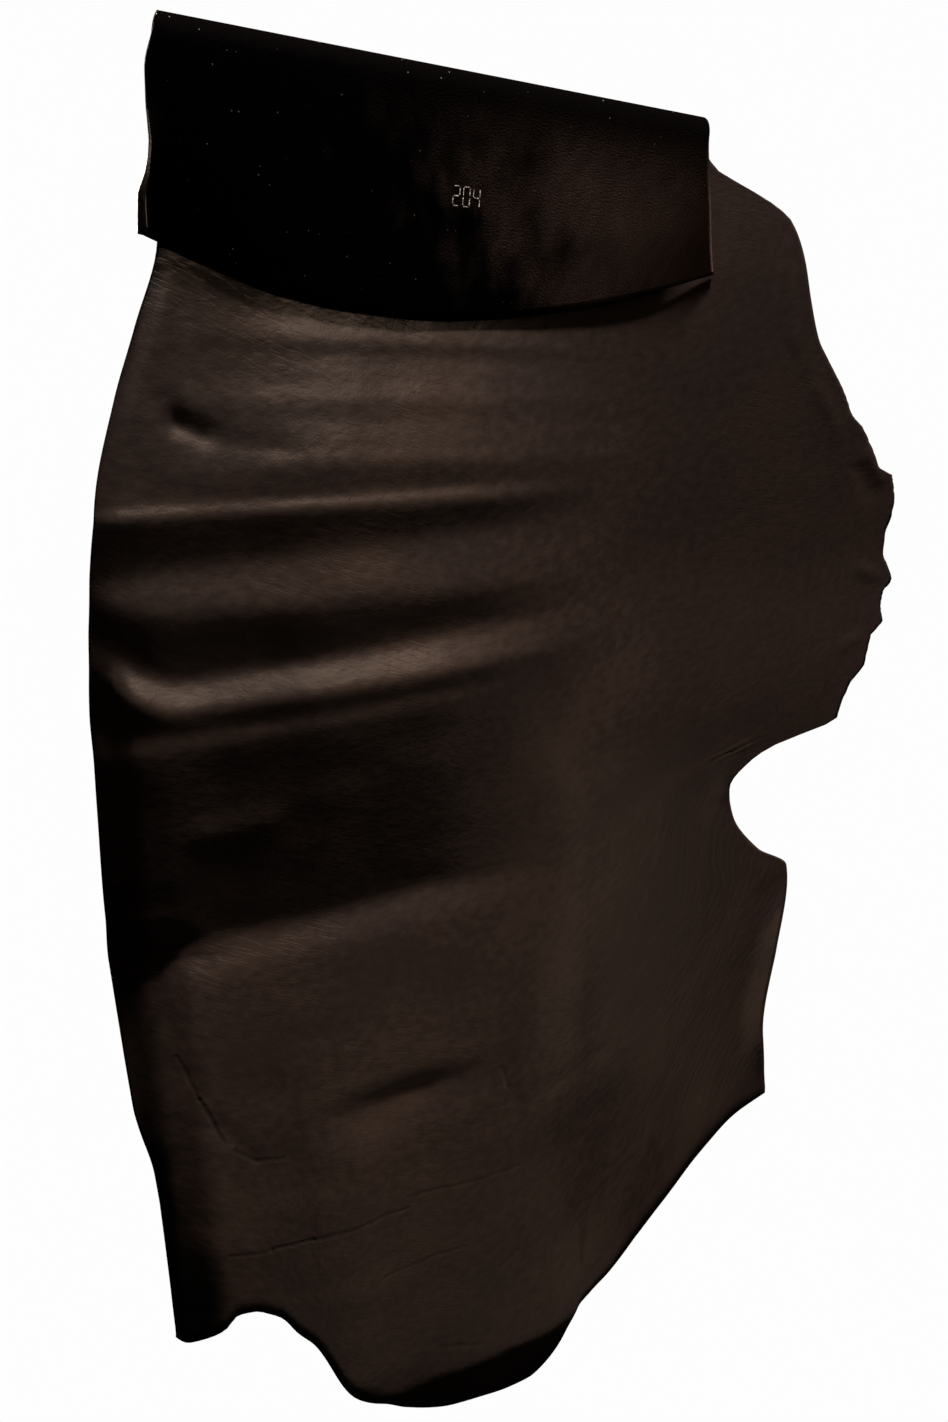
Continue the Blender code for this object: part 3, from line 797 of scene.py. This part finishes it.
class Finish:
    """One material: its node tree, its leather coordinates and its shader."""

    def __init__(self, name):
        self.material = bpy.data.materials.new(name)
        self.material.use_nodes = True
        self.tree = self.material.node_tree
        self.tree.nodes.clear()
        self.flat = self.node("ShaderNodeUVMap", {"uv_map": "flat"}, {})

    def node(self, kind, settings, inputs, output=0):
        """Add a node, set it up, fill its sockets, and give back one of its outputs."""
        made = self.tree.nodes.new(kind)
        for key, value in settings.items():
            setattr(made, key, value)
        for key, value in inputs.items():
            if isinstance(value, Field):
                self.tree.links.new(value.socket, made.inputs[key])
            else:
                made.inputs[key].default_value = value
        return Field(self, made.outputs[output]) if made.outputs else None

    def place(self, size, turn=0.0):
        """The leather coordinates in lengths of "size" (across, down), turned."""
        turned = self.node("ShaderNodeMapping", {},
                           {"Vector": self.flat, "Rotation": (0, 0, np.radians(turn))})
        return self.node("ShaderNodeMapping", {},
                         {"Vector": turned, "Scale": (1 / size[0], 1 / size[1], 1)})

    def noise(self, size, detail=2.0, turn=0.0):
        """Cloudy noise about 0.5, with blotches of "size" metres across and down."""
        return self.node("ShaderNodeTexNoise", {"noise_dimensions": "2D"},
                         {"Vector": self.place(size, turn), "Scale": 1.0, "Detail": detail})

    def cells(self, size, feature="F1"):
        """Distance to the middle of the nearest Voronoi cell of about "size" metres."""
        return self.node("ShaderNodeTexVoronoi",
                         {"voronoi_dimensions": "2D", "feature": feature},
                         {"Vector": self.place((size, size)), "Scale": 1.0}, "Distance")

    def part(self, vector, axis):
        """One component of a vector."""
        return self.node("ShaderNodeSeparateXYZ", {}, {"Vector": vector}, axis)

    def upright_place(self):
        """Where a point hangs, seen square on: x, nothing, z, and a waver from noise."""
        spot = self.node("ShaderNodeTexCoord", {}, {}, "Object")
        square_on = self.node("ShaderNodeVectorMath", {"operation": "MULTIPLY"},
                              {0: spot, 1: (1, 0, 1)})
        waver = self.node("ShaderNodeTexNoise", {},
                          {"Vector": square_on, "Scale": WAVERS_PER_METRE}, 1)
        return self.node("ShaderNodeVectorMath", {"operation": "MULTIPLY_ADD"},
                         {0: waver, 1: (WAVER * MM, 0, WAVER * MM), 2: square_on})

    def thin_crease(self, spot, crease):
        """The crease's height on its line, and 0 beyond its width.

        The share along the line is the dot product with its run over the run's square,
        kept between 0 and 1.  The distance is the one to that point of the line, which
        starts off by the waver's mean.
        """
        run = Vector((crease.to_x - crease.x, 0, crease.drop - crease.to_drop)) * MM
        mean = WAVER / 2
        start = Vector((crease.x + mean, 0, mean - crease.drop)) * MM
        past = self.node("ShaderNodeVectorMath", {"operation": "SUBTRACT"},
                         {0: spot, 1: start})
        share = self.node("ShaderNodeVectorMath", {"operation": "DOT_PRODUCT"},
                          {0: past, 1: run / run.length_squared}, 1)
        share = self.node("ShaderNodeMapRange", {}, {"Value": share})
        nearest = self.node("ShaderNodeVectorMath", {"operation": "SCALE"},
                            {0: run, "Scale": share})
        away = self.node("ShaderNodeVectorMath", {"operation": "DISTANCE"},
                         {0: past, 1: nearest}, 1)
        return (1 - self.ramp(away, 0.0, crease.width * MM)) * crease.height

    def ramp(self, value, low, high):
        """0 below low, 1 above high, and a soft S between."""
        return self.node("ShaderNodeMapRange", {"interpolation_type": "SMOOTHSTEP"},
                         {"Value": value, "From Min": low, "From Max": high})

    def blend(self, share, first, second):
        """A colour between two colours."""
        return self.node("ShaderNodeMix", {"data_type": "RGBA"},
                         {"Factor": share, 6: first, 7: second}, 2)

    def bump(self, height, depth, under=None):
        """A bumped normal, "depth" metres for a height of 1, on top of another one."""
        inputs = {"Height": height, "Distance": depth, "Strength": 1.0}
        if under is not None:
            inputs["Normal"] = under
        return self.node("ShaderNodeBump", {}, inputs)

    def shade(self, **inputs):
        """Close the material with a Principled shader."""
        names = {key.replace("_", " "): value for key, value in inputs.items()}
        surface = self.node("ShaderNodeBsdfPrincipled", {}, names)
        self.node("ShaderNodeOutputMaterial", {}, {"Surface": surface})
        return self.material


# %% [markdown]
# ## Grain side
#
# The outer side of the skin, dyed a brown that is nearly black and finished with a thin
# wax.  It shines softly.  Under the shine it has three layers: pebbles a millimetre and a
# half wide, growth wrinkles that run slantwise from the neck, and clouds where the dye
# took more or less.  Towards the neck the backbone margin is painted near black: painted
# shade, where it turns away from the light.  Hair-thin creases cross the leather: each
# dips, and painted shade darkens its line.

# %% Patterns of the grain
CLOUD = (0.16, 0.11)
MOTTLE = (0.012, 0.009)
PEBBLE = 0.0017
FINE = (0.0011, 0.0011)
WRINKLE = (0.075, 0.007)
WRINKLE_SLANT = -24
WRINKLE_WIDTH = 0.035
LOOSE_PATCH = (0.30, 0.22)
BELLY_BETWEEN = (0.12, 0.34)
NECK_BETWEEN = (0.95, 1.20)
MARGIN_BETWEEN_X = (-0.295, -0.270)
MARGIN_BETWEEN_Z = (-0.80, -0.70)
CORNER_BETWEEN_Z = (-1.07, -0.95)
CORNER_WIDER = 0.026

grain = Finish("leather_grain")
clouds = grain.noise(CLOUD, 4)
mottle = grain.noise(MOTTLE, 3)
tone = grain.ramp(clouds * 0.65 + mottle * 0.35, 0.36, 0.66)
pebbles = grain.cells(PEBBLE, "SMOOTH_F1")
fine = grain.noise(FINE, 2)
wrinkles = (grain.noise(WRINKLE, 3, turn=WRINKLE_SLANT) - 0.5).size()
lines = 1 - grain.ramp(wrinkles, 0.0, WRINKLE_WIDTH)
loose = grain.ramp(grain.noise(LOOSE_PATCH, 2), 0.42, 0.62)
belly = (grain.ramp(grain.part(grain.flat, "X"), *BELLY_BETWEEN)
         * (1 - grain.ramp(grain.part(grain.flat, "Y"), *NECK_BETWEEN)))
hangs = grain.upright_place()
hangs_z = grain.part(hangs, "Z")
low_down = 1 - grain.ramp(hangs_z, *CORNER_BETWEEN_Z)
inward = grain.part(hangs, "X") + clouds * 0.03 - 0.015 - low_down * CORNER_WIDER
# Painted shade: the backbone margin low down, wider towards the neck corner, is blended to near
# black where it turns away from the light.
painted_shade_margin = ((1 - grain.ramp(inward, *MARGIN_BETWEEN_X))
          * (1 - grain.ramp(hangs_z, *MARGIN_BETWEEN_Z)))
creased = sum(grain.thin_crease(hangs, crease) for crease in THIN_CREASES)
print("grain patterns:", len(grain.tree.nodes), "nodes")

# %% Grain finish
GRAIN_DEEP = (0.0042, 0.0027, 0.0020, 1)
GRAIN_WARM = (0.0072, 0.0047, 0.0034, 1)
GRAIN_BELLY = (0.0030, 0.0020, 0.0015, 1)
# Near black for painted shade, on the backbone margin and along the thin creases.
GRAIN_PAINTED_SHADE = (0.0003, 0.0003, 0.0002, 1)
PEBBLE_DEEP = 0.00005
WRINKLE_DEEP = 0.00007
CREASE_DEEP = 0.0007
MOTTLE_DEEP = 0.00025

surface = grain.bump(pebbles * 0.8 + fine * 0.35, PEBBLE_DEEP)
surface = grain.bump(0 - lines * loose, WRINKLE_DEEP, surface)
surface = grain.bump(0 - creased, CREASE_DEEP, surface)
surface = grain.bump(mottle, MOTTLE_DEEP, surface)
dye_and_painted_shade = grain.blend(belly * 0.55, grain.blend(tone, GRAIN_DEEP, GRAIN_WARM), GRAIN_BELLY)
# Painted shade: the thin creases' lines are blended halfway to the near-black shade colour.
dye_and_painted_shade = grain.blend(creased * 0.5, dye_and_painted_shade, GRAIN_PAINTED_SHADE)
grain_leather = grain.shade(
    Base_Color=grain.blend(painted_shade_margin * (0.6 + low_down * 0.4), dye_and_painted_shade, GRAIN_PAINTED_SHADE),
    Roughness=0.24 + mottle * 0.08 - tone * 0.03 - painted_shade_margin * 0.07,
    Specular_IOR_Level=0.5, Normal=surface)
print("grain finish:", len(grain.tree.nodes), "nodes")

# %% [markdown]
# ## Flesh side
#
# The inner side of the skin is a short dull nap.  It hardly shines, so it goes black where
# little light reaches it.  Its colour runs from near black at the backbone side to brown
# towards the belly: partly a thinner dye there, and partly painted light, where the flap's
# far side catches more light.  The brown comes in streaks, and painted shade darkens it to
# black towards the crest.  A few pale flecks of fibre and dust sit on it.

# %% Flesh finish
FLESH_BLACK = (0.0003, 0.00025, 0.00025, 1)
FLESH_BROWN = (0.020, 0.0140, 0.0113, 1)
FLECK = (0.03, 0.026, 0.023, 1)
NAP = (0.0022, 0.0016)
BRUSHED = (0.035, 0.05)
STREAK = (0.009, 0.03)
STREAK_SLANT = 30
BROWN_BETWEEN = (-0.16, 0.12)
CREST_BETWEEN = (0.018, 0.115)
FLECK_APART = 0.020
FLECK_PATCH = (0.03, 0.03)
NAP_DEEP = 0.0005

flesh = Finish("leather_flesh")
along_it = flesh.part(flesh.flat, "Y")
nap = flesh.noise(NAP, 3)
brushed = flesh.noise(BRUSHED, 4)
# Part dye, part painted light: the brown grows towards the belly side, where the flap catches more
# light.  Painted shade: the brown fades to black near the crest.
slanted = flesh.part(flesh.flat, "X") + along_it * 0.8 + brushed * 0.26 - 0.13
dye_and_painted_light = flesh.ramp(slanted, *BROWN_BETWEEN) * flesh.ramp(along_it.size(), *CREST_BETWEEN)
streaks = flesh.noise(STREAK, 4, turn=STREAK_SLANT)
under_nap = flesh.blend(dye_and_painted_light * (0.55 + streaks * 0.8), FLESH_BLACK, FLESH_BROWN)
fleck = 1 - flesh.ramp(flesh.cells(FLECK_APART), 0.018, 0.03)
fleck = fleck * flesh.ramp(flesh.noise(FLECK_PATCH), 0.5, 0.6)
flesh_leather = flesh.shade(
    Base_Color=flesh.blend(fleck, under_nap, FLECK),
    Roughness=0.86 + nap * 0.1, Specular_IOR_Level=0.0,
    Normal=flesh.bump(nap + brushed * 0.5, NAP_DEEP))
print("flesh finish:", len(flesh.tree.nodes), "nodes")

# %% [markdown]
# ## Cut edge
#
# The knife's cut shows the felted fibre between both skins, dyed through but dry.

# %% Edge finish
EDGE_DARK = (0.004, 0.003, 0.0024, 1)
EDGE_PALE = (0.012, 0.0083, 0.0062, 1)
FIBRE = (0.002, 0.0009)
FIBRE_DEEP = 0.0004

edge = Finish("leather_edge")
fibre = edge.noise(FIBRE, 3)
edge_leather = edge.shade(
    Base_Color=edge.blend(fibre, EDGE_DARK, EDGE_PALE),
    Roughness=0.92, Specular_IOR_Level=0.15, Normal=edge.bump(fibre, FIBRE_DEEP))

for material in (flesh_leather, grain_leather, edge_leather):
    hide_mesh.materials.append(material)
print([material.name for material in hide_mesh.materials])

# %% [markdown]
# ## The area mark
#
# A tannery's measuring machine prints a side's area on its flesh side in thin chalky
# strokes, as on a pocket calculator.  Here it is a plain number.  Each stroke is a slab of
# ink a fifth of a millimetre thick that lies on the nap, so it follows the flap.

# %% Bars of a plain number
NUMBER = "204"
NUMBER_FROM = Corner(-20.0, 84.0)
DIGIT_WIDE = 6.0
DIGIT_TALL = 14.0
DIGIT_STEP = 9.4
STROKE = 0.6
GAP = 0.9
BARS = {"a": (0, 0, 1, 0), "b": (1, 0, 1, 1), "c": (1, 1, 1, 2), "d": (0, 2, 1, 2),
        "e": (0, 1, 0, 2), "f": (0, 0, 0, 1), "g": (0, 1, 1, 1)}
LIT = {"0": "abcdef", "2": "abged", "4": "fgbc"}


def bar_corners(step, bar):
    """The four corners, x and drop, of one bar of the digit "step" places along.

    A level bar is short by the gap at its ends and a stroke high, an upright one the
    other way round.
    """
    x0, d0, x1, d1 = BARS[bar]
    left = NUMBER_FROM.x + step * DIGIT_STEP + x0 * DIGIT_WIDE
    right = NUMBER_FROM.x + step * DIGIT_STEP + x1 * DIGIT_WIDE
    top = NUMBER_FROM.drop + d0 * DIGIT_TALL / 2
    low = NUMBER_FROM.drop + d1 * DIGIT_TALL / 2
    half = STROKE / 2
    if d0 == d1:
        left, right, top, low = left + GAP, right - GAP, top - half, top + half
    else:
        left, right, top, low = left - half, left + half, top + GAP, low - GAP
    return (left, top), (right, top), (right, low), (left, low)


# %% Slabs of ink on the flap
INK_HIGH = 0.2
INK_SUNK = 0.05
SLAB_SIDES = ((4, 7, 6, 5), (0, 1, 2, 3), (0, 4, 5, 1), (1, 5, 6, 2), (2, 6, 7, 3),
              (3, 7, 4, 0))
points, faces = [], []
for step, digit in enumerate(NUMBER):
    for bar in LIT[digit]:
        first = len(points)
        for rise in (-INK_SUNK, INK_HIGH):
            for px, pd in bar_corners(step, bar):
                skin = float(flap_depth(np.array(px), np.array(pd))) - THICKNESS / 2
                points.append((px * MM, (skin - rise) * MM, -pd * MM))
        faces += [tuple(first + k for k in side) for side in SLAB_SIDES]
number_mesh = bpy.data.meshes.new("area_mark")
number_mesh.from_pydata(points, [], faces)
area_mark = bpy.data.objects.new("area_mark", number_mesh)
bpy.context.collection.objects.link(area_mark)
print(len(faces) // len(SLAB_SIDES), "strokes")

# %% Ink finish
INK_THIN = (0.10, 0.09, 0.085, 1)
INK_FULL = (0.50, 0.48, 0.45, 1)
CHALK_GRAINS_PER_METRE = 900.0

ink = Finish("chalky_ink")
chalk = ink.node("ShaderNodeTexNoise", {}, {
    "Vector": ink.node("ShaderNodeTexCoord", {}, {}, "Object"),
    "Scale": CHALK_GRAINS_PER_METRE, "Detail": 2.0})
number_mesh.materials.append(ink.shade(
    Base_Color=ink.blend(ink.ramp(chalk, 0.4, 0.6), INK_THIN, INK_FULL),
    Roughness=0.95, Specular_IOR_Level=0.1))
print("ink finish:", len(ink.tree.nodes), "nodes")

# %% [markdown]
#
# The hide is one sheet.  It stands for the imported solid and hangs over a rail that isn't
# part of it.

# %% Ride and replace
for piece in (hide, area_mark):
    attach(piece, "root")
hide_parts("hide")
